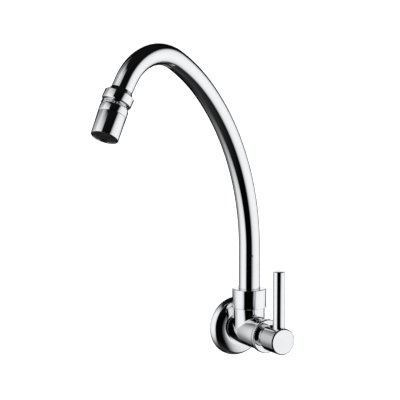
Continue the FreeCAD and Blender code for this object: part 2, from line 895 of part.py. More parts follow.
def aerator_insert():
    """Black insert: a skirt up to the flow disc and a slotted plate at the outlet."""
    outer = sleeve_bore_r - fixed_fit
    inner = outer - insert_wall
    plate_at = insert_end - insert_plate
    insert = turned((inner, insert_at), (outer, insert_at), (outer, insert_end),
                    (0, insert_end), (0, plate_at), (inner, plate_at))
    each_side = int((inner - insert_slot_width) / insert_slot_pitch)
    for i in range(-each_side, each_side + 1):
        offset = i * insert_slot_pitch
        reach = math.sqrt((inner - insert_wall / 2) ** 2 - offset ** 2)
        slot = Part.makeBox(insert_slot_width, 2 * reach, insert_plate + 2 * cut_over,
                            V(offset - insert_slot_width / 2, -reach, plate_at - cut_over))
        insert = insert.cut(slot)
    return on_ball(insert)


def pieces():
    """Every piece of the faucet by its name."""
    stem_places = stem_groove_places()
    foot_places = foot_groove_places()
    return {
        "valve_body": valve_body(),
        "wall_flange": wall_flange(),
        "headwork_bush": headwork_bush(),
        "headwork_gasket": headwork_gasket(),
        "seat_seal": seat_seal(),
        "fixed_disc": fixed_disc(),
        "bonnet_ring": bonnet_ring(),
        "collar_nut": collar_nut(),
        "thrust_washer": thrust_washer(),
        "split_ring": split_ring(),
        "spindle": spindle(),
        "moving_disc": moving_disc(),
        "stem_oring_inner": stem_oring(stem_places[0]),
        "stem_oring_outer": stem_oring(stem_places[1]),
        "stem_clip": stem_clip(),
        "handle_hub": handle_hub(),
        "lever_rod": lever_rod(),
        "grub_screw": grub_screw(),
        "spout_tube": spout_tube(),
        "spout_foot": spout_foot(),
        "foot_oring_lower": foot_oring(foot_places[0]),
        "foot_oring_upper": foot_oring(foot_places[1]),
        "tip_collar": tip_collar(),
        "tip_washer": tip_washer(),
        "lock_ring": lock_ring(),
        "ball_seat": ball_seat(),
        "swivel_ball": swivel_ball(),
        "aerator_ring": aerator_ring(),
        "aerator_washer": aerator_washer(),
        "aerator_sleeve": aerator_sleeve(),
        "flow_disc": flow_disc(),
        "aerator_insert": aerator_insert(),
    }


def main():
    os.makedirs("parts", exist_ok=True)
    for name, shape in pieces().items():
        solids = shape.Solids
        assert shape.isValid() and len(solids) == 1, name
        solids[0].exportStep("parts/" + name + ".step")
        print(f"{name:18s} {solids[0].Volume:10.1f} mm3")


main()
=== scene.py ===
import json
import math

import bpy
from mathutils import Matrix, Vector


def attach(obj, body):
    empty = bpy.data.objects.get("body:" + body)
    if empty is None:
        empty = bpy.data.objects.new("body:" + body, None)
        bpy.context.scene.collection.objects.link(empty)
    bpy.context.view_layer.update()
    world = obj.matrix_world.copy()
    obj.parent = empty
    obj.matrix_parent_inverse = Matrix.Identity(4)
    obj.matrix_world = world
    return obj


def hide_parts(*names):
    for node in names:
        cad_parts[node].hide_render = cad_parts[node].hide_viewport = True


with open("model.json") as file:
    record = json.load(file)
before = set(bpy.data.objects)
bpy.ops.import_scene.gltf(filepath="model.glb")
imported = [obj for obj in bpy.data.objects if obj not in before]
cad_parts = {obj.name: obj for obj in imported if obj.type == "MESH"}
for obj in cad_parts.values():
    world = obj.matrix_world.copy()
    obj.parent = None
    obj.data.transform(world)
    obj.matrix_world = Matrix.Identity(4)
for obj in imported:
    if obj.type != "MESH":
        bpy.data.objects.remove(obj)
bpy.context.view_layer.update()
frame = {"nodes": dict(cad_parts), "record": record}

nodes = frame["nodes"]
mm = 0.001
mergeGap = 2e-6      # metres between two vertices that become one
onAxis = 0.001       # smallest radius of a turned ring, mm
edgeAngle = 28       # a corner sharper than this gets its edge rounded
smoothAngle = 32     # a corner flatter than this is shaded smooth


def toLinear(hexColour):
    # sRGB hex as a user picks it, turned to the linear values that shaders want
    out = []
    for i in (1, 3, 5):
        c = int(hexColour[i:i + 2], 16) / 255
        out.append(c / 12.92 if c <= 0.04045 else ((c + 0.055) / 1.055) ** 2.4)
    return (*out, 1.0)


def addNode(tree, kind, settings=None, inputs=None):
    # one node with its settings; an input takes a fixed value or the socket that feeds it
    node = tree.nodes.new(kind)
    for name, value in (settings or {}).items():
        setattr(node, name, value)
    for name, value in (inputs or {}).items():
        if isinstance(value, bpy.types.NodeSocket):
            tree.links.new(value, node.inputs[name])
        else:
            node.inputs[name].default_value = value
    return node


def deselectAll():
    if bpy.context.object and bpy.context.object.mode != "OBJECT":
        bpy.ops.object.mode_set(mode="OBJECT")
    bpy.ops.object.select_all(action="DESELECT")


def activate(obj):
    deselectAll()
    obj.select_set(True)
    bpy.context.view_layer.objects.active = obj


def applyModifier(obj, name, kind, **settings):
    activate(obj)
    mod = obj.modifiers.new(name, kind)
    for key, value in settings.items():
        setattr(mod, key, value)
    bpy.ops.object.modifier_apply(modifier=mod.name)


def smoothByAngle(obj, degrees=smoothAngle):
    activate(obj)
    bpy.ops.object.shade_smooth_by_angle(angle=math.radians(degrees))


def turn(name, corners, segments=128, bevel=0.25, closed=True, bevelSegments=3):
    # a lathe-turned piece: start from a circle and extrude it ring by ring through
    # (radius, height) corners; where it is closed, the last ring joins the first one
    deselectAll()
    rings = [(max(radius, onAxis) * mm, height) for radius, height in corners]
    nowR, nowH = rings[0]
    bpy.ops.mesh.primitive_circle_add(vertices=segments, radius=nowR, location=(0, 0, nowH * mm))
    obj = bpy.context.object
    obj.name = name
    bpy.ops.object.transform_apply(location=True, rotation=True, scale=True)
    bpy.ops.object.mode_set(mode="EDIT")
    bpy.ops.mesh.select_all(action="SELECT")
    for nextR, nextH in rings[1:] + (rings[:1] if closed else []):
        lift = (nextH - nowH) * mm
        bpy.ops.mesh.extrude_edges_move(TRANSFORM_OT_translate={"value": (0, 0, lift)})
        k = nextR / nowR
        bpy.ops.transform.resize(value=(k, k, 1), center_override=(0, 0, nextH * mm))
        nowR, nowH = nextR, nextH
    bpy.ops.mesh.select_all(action="SELECT")
    bpy.ops.mesh.remove_doubles(threshold=mergeGap)
    bpy.ops.mesh.normals_make_consistent(inside=False)
    bpy.ops.object.mode_set(mode="OBJECT")
    if bevel:
        applyModifier(obj, "edge", "BEVEL", width=bevel * mm, segments=bevelSegments,
                      limit_method="ANGLE", angle_limit=math.radians(edgeAngle), harden_normals=False)
    smoothByAngle(obj)
    return obj


def place(obj, matrix):
    # bake a place into the mesh, so that the object stays at the origin
    obj.data.transform(matrix)
    obj.data.update()
    obj.matrix_world = Matrix.Identity(4)


def cutWith(obj, tool):
    applyModifier(obj, "cut", "BOOLEAN", object=tool, operation="DIFFERENCE", solver="EXACT")
    bpy.data.objects.remove(tool)


def arcCorners(centre, radius, start, end, steps):
    # corners of a rounded stretch of an outline, angles in degrees
    out = []
    for i in range(steps + 1):
        a = math.radians(start + (end - start) * i / steps)
        out.append((centre[0] + radius * math.cos(a), centre[1] + radius * math.sin(a)))
    return out


# sizes are millimetres and angles degrees, here and in every dictionary below
layout = {
    "spoutOffset": 24.5,     # wall to the spout's axis
    "restTurn": 15.8,        # degrees the spout is turned from the wall
    "riserTop": 73.9,        # start of the first bend
    "bends": ((220.4, 43.3), (172.5, 15.5), (43.7, 87.5)),   # radius, degrees
    "tail": 13.1,            # straight before the tip collar
    "ball": 8.1,             # top of the tip collar to the centre of the ball joint
    "restTilt": 7.5,         # degrees the aerator leans towards the user in the ball joint
}

wallPlace = Matrix.Rotation(math.radians(90), 4, "X")
spoutAxis = Matrix.Translation((0, -layout["spoutOffset"] * mm, 0))
barrelPlace = spoutAxis @ wallPlace
branchPlace = spoutAxis @ Matrix.Rotation(math.radians(180 + layout["restTurn"]), 4, "Z")


def spoutStations():
    # the centre line in the spout's own plane: x, z and heading where each bend starts and the last ends
    x, z, heading = 0.0, layout["riserTop"], 0.0
    stations = [(x, z, heading)]
    for radius, angle in layout["bends"]:
        a0, a1 = math.radians(heading), math.radians(heading + angle)
        x += radius * (math.cos(a0) - math.cos(a1))
        z += radius * (math.sin(a1) - math.sin(a0))
        heading += angle
        stations.append((x, z, heading))
    return stations


lastX, lastZ, tipHeading = spoutStations()[-1]
tipX = lastX + layout["tail"] * math.sin(math.radians(tipHeading))
tipZ = lastZ + layout["tail"] * math.cos(math.radians(tipHeading))
tipPlace = (branchPlace @ Matrix.Translation((tipX * mm, 0, tipZ * mm))
            @ Matrix.Rotation(math.radians(tipHeading), 4, "Y"))
toBall = Matrix.Translation((0, 0, layout["ball"] * mm))
leaning = Matrix.Rotation(math.radians(-layout["restTilt"]), 4, "X")
outletPlace = tipPlace @ toBall @ leaning @ toBall.inverted()


chromeLook = {
    "light": "#EDEEEF",      # bright nickel-chrome plate
    "dark": "#E3E5E7",       # the same plate where it is slightly hazed
    "roughness": 0.018,
    "haze": 0.03,            # extra roughness in wiped, hazy patches
    "patch": 14.0,           # size of a hazy patch, mm
    "hazeFrom": 0.35,        # where in the pattern a patch starts to be hazy
    "hazeTo": 0.75,          # and where it is haziest
    "peel": 3.5,             # size of a ripple left by polishing, mm
    "peelDepth": 0.02,       # depth of a ripple, mm
}
metalLooks = {
    # turned brass: warm yellow, with fine lathe rings and a satin gloss
    "brassTurned": {"light": "#D9B36A", "dark": "#B58E46", "roughness": 0.28, "spread": 0.15, "ring": 0.6},
    # bright stainless steel: a neutral grey, a little glossier than the brass
    "stainlessSteelBright": {"light": "#C9C7C3", "dark": "#A9A7A3", "roughness": 0.25, "spread": 0.12,
                             "ring": 0.5},
}
metalBump = (0.3, 0.02)      # strength and depth of the lathe rings
plasticLooks = {
    # moulded nitrile rubber: black and dull, with a fine moulded grain
    "nitrileRubberMoulded": {"light": "#17171A", "dark": "#0E0E10", "roughness": 0.55, "grain": 0.8,
                             "bump": 0.4, "ior": 1.52},
    # pressed fibre: a dull red brown board with a visible grain
    "fibrePressed": {"light": "#8A3B2C", "dark": "#6E2C22", "roughness": 0.7, "grain": 0.6, "bump": 0.6,
                     "ior": 1.5},
    # turned acetal: milky white with a soft waxy gloss
    "acetalTurned": {"light": "#ECEBE6", "dark": "#DEDDD6", "roughness": 0.35, "grain": 1.0, "bump": 0.2,
                     "ior": 1.48},
    # lapped alumina: ivory and nearly polished, as the discs of a valve are
    "aluminaLapped": {"light": "#F0EDE2", "dark": "#E4E0D2", "roughness": 0.12, "grain": 1.5,
                      "bump": 0.05, "ior": 1.76},
    # moulded black acetal: near black, smooth enough to catch a soft light
    "acetalBlackMoulded": {"light": "#2B2B2D", "dark": "#202022", "roughness": 0.3, "grain": 0.7,
                           "bump": 0.15, "ior": 1.48},
}
plasticSpread = 0.12         # how much duller a plastic is in its roughest grains
plasticDepth = 0.03          # depth of its grain


def newMaterial(name):
    mat = bpy.data.materials.new(name)
    mat.use_nodes = True
    return mat, mat.node_tree, mat.node_tree.nodes["Principled BSDF"]


def vary(tree, pattern, shader, colours, rough, relief):
    # one pattern drives the colour and gloss; the relief has its own pattern, strength and depth
    tint = addNode(tree, "ShaderNodeMix", {"data_type": "RGBA"},
                   {"Factor": pattern, "A": toLinear(colours[0]), "B": toLinear(colours[1])})
    tree.links.new(tint.outputs["Result"], shader.inputs["Base Color"])
    gloss = addNode(tree, "ShaderNodeMapRange", None, {"Value": pattern, **rough})
    tree.links.new(gloss.outputs["Result"], shader.inputs["Roughness"])
    height, strength, depth = relief
    bump = addNode(tree, "ShaderNodeBump", None,
                   {"Height": height, "Strength": strength, "Distance": depth * mm})
    tree.links.new(bump.outputs["Normal"], shader.inputs["Normal"])


def makeChrome(name, bump):
    # chrome plate over polished brass: a mirror whose reflections waver a little from
    # hand polishing, and which is a touch duller in wiped patches
    look = chromeLook
    mat, tree, shader = newMaterial(name)
    shader.inputs["Metallic"].default_value = 1.0
    coords = addNode(tree, "ShaderNodeTexCoord").outputs["Object"]
    patches = addNode(tree, "ShaderNodeTexNoise", None, {
        "Vector": coords, "Scale": 1 / (look["patch"] * mm), "Detail": 3.0, "Roughness": 0.5}).outputs["Fac"]
    ripple = addNode(tree, "ShaderNodeTexNoise", None, {
        "Vector": coords, "Scale": 1 / (look["peel"] * mm), "Detail": 1.0}).outputs["Fac"]
    rough = {"From Min": look["hazeFrom"], "From Max": look["hazeTo"],
             "To Min": look["roughness"], "To Max": look["roughness"] + look["haze"]}
    vary(tree, patches, shader, (look["light"], look["dark"]), rough, (ripple, bump, look["peelDepth"]))
    return mat


def makeMetal(name):
    # a bare turned metal that shows only inside
    look = metalLooks[name]
    mat, tree, shader = newMaterial(name)
    shader.inputs["Metallic"].default_value = 1.0
    coords = addNode(tree, "ShaderNodeTexCoord").outputs["Object"]
    noise = addNode(tree, "ShaderNodeTexNoise", None, {
        "Vector": coords, "Scale": 1 / (look["ring"] * mm), "Detail": 4.0}).outputs["Fac"]
    rough = {"To Min": look["roughness"], "To Max": look["roughness"] + look["spread"]}
    vary(tree, noise, shader, (look["light"], look["dark"]), rough, (noise, *metalBump))
    return mat


def makePlastic(name):
    # a moulded, turned or pressed non-metal: a fine grain in colour, gloss and surface
    look = plasticLooks[name]
    mat, tree, shader = newMaterial(name)
    shader.inputs["IOR"].default_value = look["ior"]
    coords = addNode(tree, "ShaderNodeTexCoord").outputs["Object"]
    noise = addNode(tree, "ShaderNodeTexNoise", None, {
        "Vector": coords, "Scale": 1 / (look["grain"] * mm), "Detail": 3.0}).outputs["Fac"]
    rough = {"To Min": look["roughness"], "To Max": look["roughness"] + plasticSpread}
    vary(tree, noise, shader, (look["light"], look["dark"]), rough, (noise, look["bump"], plasticDepth))
    return mat


chromeCast = makeChrome("chromePlatePolishedCasting", bump=0.10)
chromeTube = makeChrome("chromePlateDrawnTube", bump=0.05)
chromeTurned = makeChrome("chromePlateTurned", bump=0.05)
acetalBlack = makePlastic("acetalBlackMoulded")

slotLooks = {
    "chrome_plate": chromeTurned,
    "turned_brass": makeMetal("brassTurned"),
    "ceramic": makePlastic("aluminaLapped"),
    "black_rubber": makePlastic("nitrileRubberMoulded"),
    "fibre": makePlastic("fibrePressed"),
    "acetal": makePlastic("acetalTurned"),
    "stainless_steel": makeMetal("stainlessSteelBright"),
    "black_acetal": acetalBlack,
}


def wear(obj, material):
    obj.data.materials.clear()
    obj.data.materials.append(material)


for part in frame["record"]["subparts"]:
    wear(nodes[part["node"]], slotLooks[part["material_slot"]])
print("materials: done")


def finishPiece(obj, body, node, material):
    wear(obj, material)
    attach(obj, body)
    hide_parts(node)
    print("piece:", obj.name, len(obj.data.polygons), "faces")


flangeShape = {
    "radius": 27.0,
    "depth": 10.2,           # wall to the back of the barrel
    "landRadius": 15.8,      # flat front face
    "shoulder": (24.36, 3.2),  # radius where the steep side ends, and its drop from the face
    "crownRise": 0.2,
    "sideRise": 0.69,
    "rim": 0.64,             # straight rim at the wall
    "wall": 1.2,
    "hubBore": 10.558,
    "hubWall": 1.8,
    "hubLength": 6.0,
}


def bowed(start, end, rise, steps):
    # corners along an arc through two corners that rises off its chord
    run, drop = end[0] - start[0], end[1] - start[1]
    chord = math.hypot(run, drop)
    radius = (chord ** 2 / 4 + rise ** 2) / (2 * rise)
    nx, ny = -drop / chord, run / chord
    cx = (start[0] + end[0]) / 2 - nx * (radius - rise)
    cy = (start[1] + end[1]) / 2 - ny * (radius - rise)
    a0 = math.degrees(math.atan2(start[1] - cy, start[0] - cx))
    a1 = math.degrees(math.atan2(end[1] - cy, end[0] - cx))
    return arcCorners((cx, cy), radius, a0, a1, steps)


def buildFlange():
    s = flangeShape

    def outline(inset):
        # front face, crown, shoulder, steep side and rim, moved inwards by the wall
        face = (s["landRadius"], s["depth"] - inset)
        shoulder = (s["shoulder"][0] - inset, s["depth"] - s["shoulder"][1] - inset)
        rim = (s["radius"] - inset, s["rim"])
        return bowed(face, shoulder, s["crownRise"], 8) + bowed(shoulder, rim, s["sideRise"], 10)[1:]

    hubOut = s["hubBore"] + s["hubWall"]
    corners = [(s["hubBore"], s["depth"])] + outline(0)
    corners += [(s["radius"], 0), (s["radius"] - s["wall"], 0)] + outline(s["wall"])[::-1]
    corners += [(hubOut, s["depth"] - s["wall"]), (hubOut, s["depth"] - s["hubLength"]),
                (s["hubBore"], s["depth"] - s["hubLength"])]
    flange = turn("wallFlange", corners, segments=160, bevel=0.2)
    place(flange, wallPlace)
    finishPiece(flange, "faucet", "wall_flange", chromeTurned)


bodyShape = {
    "radius": 14.1,
    "back": 14.3,            # behind the spout's axis
    "front": 27.3,
    "frontEdge": 0.4,
    "branchRadius": 13.95,
    "branchTop": 21.5,
    "branchThread": 13.05,
    "branchEnd": 31.5,
    "blend": 1.6,            # fillet where the branch grows out of the barrel
    "blendSteps": 6,
    "sunk": 0.01,            # how far the fillet's foot lies inside the barrel
    "leastFade": 0.03,       # what is left of the fillet at the two sides
    "seat": 2.0,
    "chamber": 10.13,
    "frontBore": 10.48,
    "frontBoreDepth": 10.8,
    "neck": 10.178,
    "inletBore": 6.2,
    "footBore": 11.0,
    "branchFloor": 8.4,
}

threadShape = {
    "outside": 10.478,
    "root": 9.32,
    "pitch": 1.814,          # fourteen threads to the inch
    "length": 16.0,
    "bury": 0.1,             # how far a tooth's foot lies inside the shank
    "steps": 72,             # faces in one turn
    "turns": 7,
    "crest": 0.35,           # width of a thread at its crest
    "foot": 1.6,             # and at its root
    "chamfer": 1.0,
}


def buildBody():
    s, t = bodyShape, threadShape
    wall = -layout["spoutOffset"]
    shankEnd = wall - t["length"]
    # barrel with the neck, the shank and the waterway, turned about the barrel's axis
    barrel = turn("valveBodyCasting", [
        (s["inletBore"], shankEnd), (s["inletBore"], s["seat"]), (s["chamber"], s["seat"]),
        (s["chamber"], s["front"] - s["frontBoreDepth"]), (s["frontBore"], s["front"] - s["frontBoreDepth"]),
        (s["frontBore"], s["front"]), (s["radius"], s["front"]), (s["radius"], -s["back"]),
        (s["neck"], -s["back"]), (s["neck"], wall), (t["root"], wall), (t["root"], shankEnd),
    ], segments=144, bevel=s["frontEdge"])
    place(barrel, wallPlace)
    # branch: its foot flares into the barrel, so each vertex of the flare is lifted on to it
    flare = []
    for i in range(s["blendSteps"] + 1):
        a = math.radians(90 * i / s["blendSteps"])
        flare.append((s["branchRadius"] + s["blend"] * (1 - math.cos(a)), s["blend"] * (1 - math.sin(a))))
    branch = turn("branch", [
        (s["footBore"], s["branchFloor"]), *flare[::-1], (s["branchRadius"], s["branchTop"]),
        (s["branchThread"], s["branchTop"]), (s["branchThread"], s["branchEnd"]),
        (s["footBore"], s["branchEnd"]),
    ], segments=144, bevel=0)
    # the fillet and the branch's outside lie past this radius, its thread and bore within it
    outerSkin = (s["branchThread"] + s["branchRadius"]) / 2 * mm
    for v in branch.data.vertices:
        out = math.hypot(v.co.x, v.co.y)
        if v.co.z < (s["blend"] + s["sunk"]) * mm and out > outerSkin:
            # at the two sides the cylinders run into each other, so the flare fades out there
            fade = max(abs(v.co.y) / out, s["leastFade"])
            k = (s["branchRadius"] * mm + (out - s["branchRadius"] * mm) * fade) / out
            v.co.x *= k
            v.co.y *= k
            v.co.z *= fade
            v.co.z += math.sqrt((s["radius"] * mm) ** 2 - v.co.x ** 2) - s["sunk"] * mm
    smoothByAngle(branch, 35)
    thread = buildThread(wall)
    deselectAll()
    for piece in (branch, thread, barrel):
        piece.select_set(True)
    bpy.context.view_layer.objects.active = barrel
    bpy.ops.object.join()
    place(barrel, spoutAxis)
    finishPiece(barrel, "faucet", "valve_body", chromeCast)


def buildThread(wall):
    # one tooth's section, carried round and along the shank by a Screw modifier
    t = threadShape
    deselectAll()
    depth = t["outside"] - t["root"] + t["bury"]
    middle = t["outside"] - depth / 2
    bpy.ops.mesh.primitive_plane_add(size=1, location=(middle * mm, 0, 0), rotation=(math.radians(90), 0, 0))
    thread = bpy.context.object
    thread.name = "inletThread"
    thread.scale = (depth * mm, t["foot"] * mm, 1)
    bpy.ops.object.transform_apply(location=True, rotation=True, scale=True)
    for v in thread.data.vertices:
        v.select = v.co.x > middle * mm
    bpy.ops.object.mode_set(mode="EDIT")
    bpy.ops.mesh.select_mode(type="VERT")
    bpy.ops.transform.resize(value=(1, 1, t["crest"] / t["foot"]), center_override=(0, 0, 0))
    bpy.ops.mesh.select_all(action="SELECT")
    bpy.ops.mesh.delete(type="ONLY_FACE")
    bpy.ops.object.mode_set(mode="OBJECT")
    applyModifier(thread, "helix", "SCREW", axis="Z", angle=math.radians(360),
                  steps=t["steps"], render_steps=t["steps"], screw_offset=t["pitch"] * mm,
                  iterations=t["turns"], use_smooth_shade=False)
    bpy.ops.object.mode_set(mode="EDIT")
    bpy.ops.mesh.select_all(action="SELECT")
    bpy.ops.mesh.remove_doubles(threshold=mergeGap)
    bpy.ops.mesh.fill_holes(sides=0)
    bpy.ops.mesh.select_all(action="SELECT")
    bpy.ops.mesh.normals_make_consistent(inside=False)
    bpy.ops.object.mode_set(mode="OBJECT")
    smoothByAngle(thread, 30)
    low = wall - t["length"] + t["chamfer"] + t["foot"] / 2
    place(thread, wallPlace @ Matrix.Translation((0, 0, low * mm)))
    return thread


collarShape = {"low": 21.5, "high": 38.9, "radius": 15.4, "bore": 9.6, "thread": 13.13, "lid": 34.58}
ringShape = {"low": 27.3, "high": 31.8, "radius": 15.4, "bore": 12.68, "lip": 8.2, "lipDepth": 1.2,
             "neck": 9.3, "neckEnd": 38.9, "backEdge": 0.4, "frontRound": 1.1}
hubShape = {"low": 37.9, "high": 58.35, "radius": 12.0, "cavity": 9.6, "cavityDepth": 6.0,
            "chamfer": 1.0, "backEdge": 0.6, "leverSetback": 7.9, "edge": 0.16,
            "seatHole": 20, "grubHole": 2.6, "grubDepth": 8, "grubAt": -12}
leverShape = {"radius": 5.45, "top": 62.5, "foot": 9.0, "play": 0.1}


def leverY():
    return -(layout["spoutOffset"] + hubShape["high"] - hubShape["leverSetback"]) * mm


def buildCollar():
    s = collarShape
    collar = turn("collarNut", [
        (s["thread"], s["low"]), (s["radius"], s["low"]), (s["radius"], s["high"]),
        (s["bore"], s["high"]), (s["bore"], s["lid"]), (s["thread"], s["lid"]),
    ], segments=144, bevel=0.45, bevelSegments=4)
    place(collar, branchPlace)
    finishPiece(collar, "faucet", "collar_nut", chromeTurned)


def buildBonnet():
    s = ringShape
    middle = (s["radius"] - s["frontRound"], s["high"] - s["frontRound"])
    rounding = arcCorners(middle, s["frontRound"], 0, 90, 8)
    bonnet = turn("bonnetRing", [
        (s["bore"], s["low"]), (s["radius"] - s["backEdge"], s["low"]),
        (s["radius"], s["low"] + s["backEdge"]),
        *rounding, (s["neck"], s["high"]), (s["neck"], s["neckEnd"]), (s["lip"], s["neckEnd"]),
        (s["lip"], s["high"] - s["lipDepth"]),
        (s["bore"], s["high"] - s["lipDepth"]),
    ], segments=144, bevel=0.1, bevelSegments=2)
    place(bonnet, barrelPlace)
    finishPiece(bonnet, "faucet", "bonnet_ring", chromeTurned)


def buildHub():
    s = hubShape
    floor = s["low"] + s["cavityDepth"]
    hub = turn("handleHub", [
        (0, floor), (s["cavity"], floor), (s["cavity"], s["low"]), (s["radius"] - s["backEdge"], s["low"]),
        (s["radius"], s["low"] + s["backEdge"]), (s["radius"], s["high"] - s["chamfer"]),
        (s["radius"] - s["chamfer"], s["high"]), (0, s["high"]),
    ], segments=144, bevel=0, closed=False)
    place(hub, barrelPlace)
    bore = leverShape["radius"] + leverShape["play"]
    seatMiddle = leverShape["foot"] + s["seatHole"] / 2
    holes = ((bore, s["seatHole"], seatMiddle), (s["grubHole"], s["grubDepth"], s["grubAt"]))
    for radius, depth, height in holes:
        deselectAll()
        bpy.ops.mesh.primitive_cylinder_add(vertices=96, radius=radius * mm, depth=depth * mm,
                                            location=(0, leverY(), height * mm))
        cutWith(hub, bpy.context.object)
    applyModifier(hub, "edge", "BEVEL", width=s["edge"] * mm, segments=2, limit_method="ANGLE",
                  angle_limit=math.radians(35), harden_normals=False)
    smoothByAngle(hub, 30)
    finishPiece(hub, "handle", "handle_hub", chromeTurned)


def buildLever():
    s = leverShape
    lever = turn("leverRod", [
        (0, s["foot"]), (s["radius"], s["foot"]), (s["radius"], s["top"]), (0, s["top"]),
    ], segments=96, bevel=0.5, closed=False, bevelSegments=4)
    place(lever, Matrix.Translation((0, leverY(), 0)))
    finishPiece(lever, "handle", "lever_rod", chromeTurned)


tubeShape = {"radius": 9.525, "wall": 1.0, "start": 24.15, "segments": 96, "intoSocket": 2.5,
             "fewestSteps": 12, "stepsPerDegree": 1.1}


def buildTube():
    s = tubeShape
    deselectAll()
    bpy.ops.mesh.primitive_circle_add(vertices=s["segments"], radius=s["radius"] * mm,
                                      location=(0, 0, s["start"] * mm))
    tube = bpy.context.object
    tube.name = "spoutTubeBent"
    bpy.ops.object.transform_apply(location=True, rotation=True, scale=True)
    bpy.ops.object.mode_set(mode="EDIT")
    bpy.ops.mesh.select_all(action="SELECT")
    bpy.ops.mesh.extrude_edges_move(
        TRANSFORM_OT_translate={"value": (0, 0, (layout["riserTop"] - s["start"]) * mm)})
    for (x, z, heading), (radius, angle) in zip(spoutStations(), layout["bends"]):
        a0 = math.radians(heading)
        centre = ((x + radius * math.cos(a0)) * mm, 0, (z - radius * math.sin(a0)) * mm)
        steps = max(s["fewestSteps"], int(angle * s["stepsPerDegree"]))
        bpy.ops.mesh.spin(steps=steps, angle=math.radians(angle), center=centre, axis=(0, -1, 0))
    ahead = math.radians(tipHeading)
    reach = (layout["tail"] + s["intoSocket"]) * mm
    bpy.ops.mesh.extrude_edges_move(
        TRANSFORM_OT_translate={"value": (reach * math.sin(ahead), 0, reach * math.cos(ahead))})
    bpy.ops.mesh.select_all(action="SELECT")
    bpy.ops.mesh.remove_doubles(threshold=1e-6)
    bpy.ops.mesh.normals_make_consistent(inside=False)
    bpy.ops.object.mode_set(mode="OBJECT")
    applyModifier(tube, "wall", "SOLIDIFY", thickness=s["wall"] * mm, offset=-1.0)
    smoothByAngle(tube, 40)
    place(tube, branchPlace)
    finishPiece(tube, "spout", "spout_tube", chromeTube)


tipShape = {
    "radius": 13.25, "length": 9.1, "topChamfer": 1.1, "lowChamfer": 0.9,
    "coneLength": 3.6, "coneRise": 1.7,   # brazed cone that carries the tube out to the collar
    "bore": 9.6, "socket": 2.8, "floor": 3.8, "passage": 7.6, "thread": 11.8,
}

lockShape = {
    "recess": 9.4, "end": 13.5, "mouth": 7.4,
    "beads": ((10.15, 11.15), (11.95, 13.15)),   # the two rounded tiers, from the tip collar's top
    "beadRadius": 12.3,
    "notches": 6, "notchRadius": 2.6, "notchAt": 12.9, "notchLength": 4.8, "notchTurn": 15.0,
    "notchMiddle": 13.0, "edge": 0.12,
    "throat": 7.0, "throatAt": 1.0,      # narrowest bore, and how far it lies past the tip collar's end
    "play": 0.1, "engaged": 2.0,         # of the thread that screws into the tip collar
    "shadowGap": 0.02,                   # between the tip collar's end and the ring's first groove
}

aeratorShape = {
    "rimAt": 14.0, "rimInner": 12.25, "ringRadius": 12.6, "rimRound": 0.6, "cupFloor": 17.0,
    "seamAt": 20.8, "seam": 0.35, "neckBore": 4.3, "threadRadius": 11.2, "underFloor": 18.5,
    "sleeveTop": 12.55, "sleeveEnd": 12.2, "sleeveLast": 41.9, "sleeveBore": 10.7, "endRound": 0.5,
    "ledge": 9.2, "ledgeEnd": 23.0, "spigotAt": 19.2, "spigotPlay": 0.1,
    "lip": 0.12, "lipRise": 0.05,   # small bevel at the rim of the cup
}


def buildTip():
    s = tipShape
    collar = turn("tipCollar", [
        (s["bore"], -s["coneLength"]), (s["bore"] + s["coneRise"], 0),
        (s["radius"] - s["topChamfer"], 0), (s["radius"], s["topChamfer"]),
        (s["radius"], s["length"] - s["lowChamfer"]), (s["radius"] - s["lowChamfer"], s["length"]),
        (s["thread"], s["length"]), (s["thread"], s["floor"]), (s["passage"], s["floor"]),
        (s["passage"], s["socket"]), (s["bore"], s["socket"]),
    ], segments=128, bevel=0.2)
    place(collar, tipPlace)
    finishPiece(collar, "spout", "tip_collar", chromeTurned)


def buildLock():
    s, c = lockShape, tipShape
    thread = c["thread"] - s["play"]
    beads = []
    for low, high in s["beads"]:
        half = (high - low) / 2
        beads += [(s["recess"], low)] + arcCorners((s["beadRadius"] - half, low + half), half, -90, 90, 8)
        beads.append((s["recess"], high))
    lock = turn("lockRingNotched", [
        (s["mouth"], s["end"]), (s["throat"], c["length"] + s["throatAt"]),
        (thread, c["length"] - s["engaged"]), (thread, c["length"]),
        (s["recess"], c["length"] + s["shadowGap"]), *beads, (s["recess"], s["end"]),
    ], segments=128, bevel=0)
    for i in range(s["notches"]):
        deselectAll()
        a = 2 * math.pi * i / s["notches"] + math.radians(s["notchTurn"])
        spot = Vector((s["notchAt"] * math.cos(a), s["notchAt"] * math.sin(a), s["notchMiddle"])) * mm
        bpy.ops.mesh.primitive_cylinder_add(vertices=32, radius=s["notchRadius"] * mm,
                                            depth=s["notchLength"] * mm, location=spot)
        cutWith(lock, bpy.context.object)
    applyModifier(lock, "edge", "BEVEL", width=s["edge"] * mm, segments=2, limit_method="ANGLE",
                  angle_limit=math.radians(40), harden_normals=False)
    smoothByAngle(lock, 35)
    place(lock, tipPlace)
    finishPiece(lock, "spout", "lock_ring", chromeTurned)


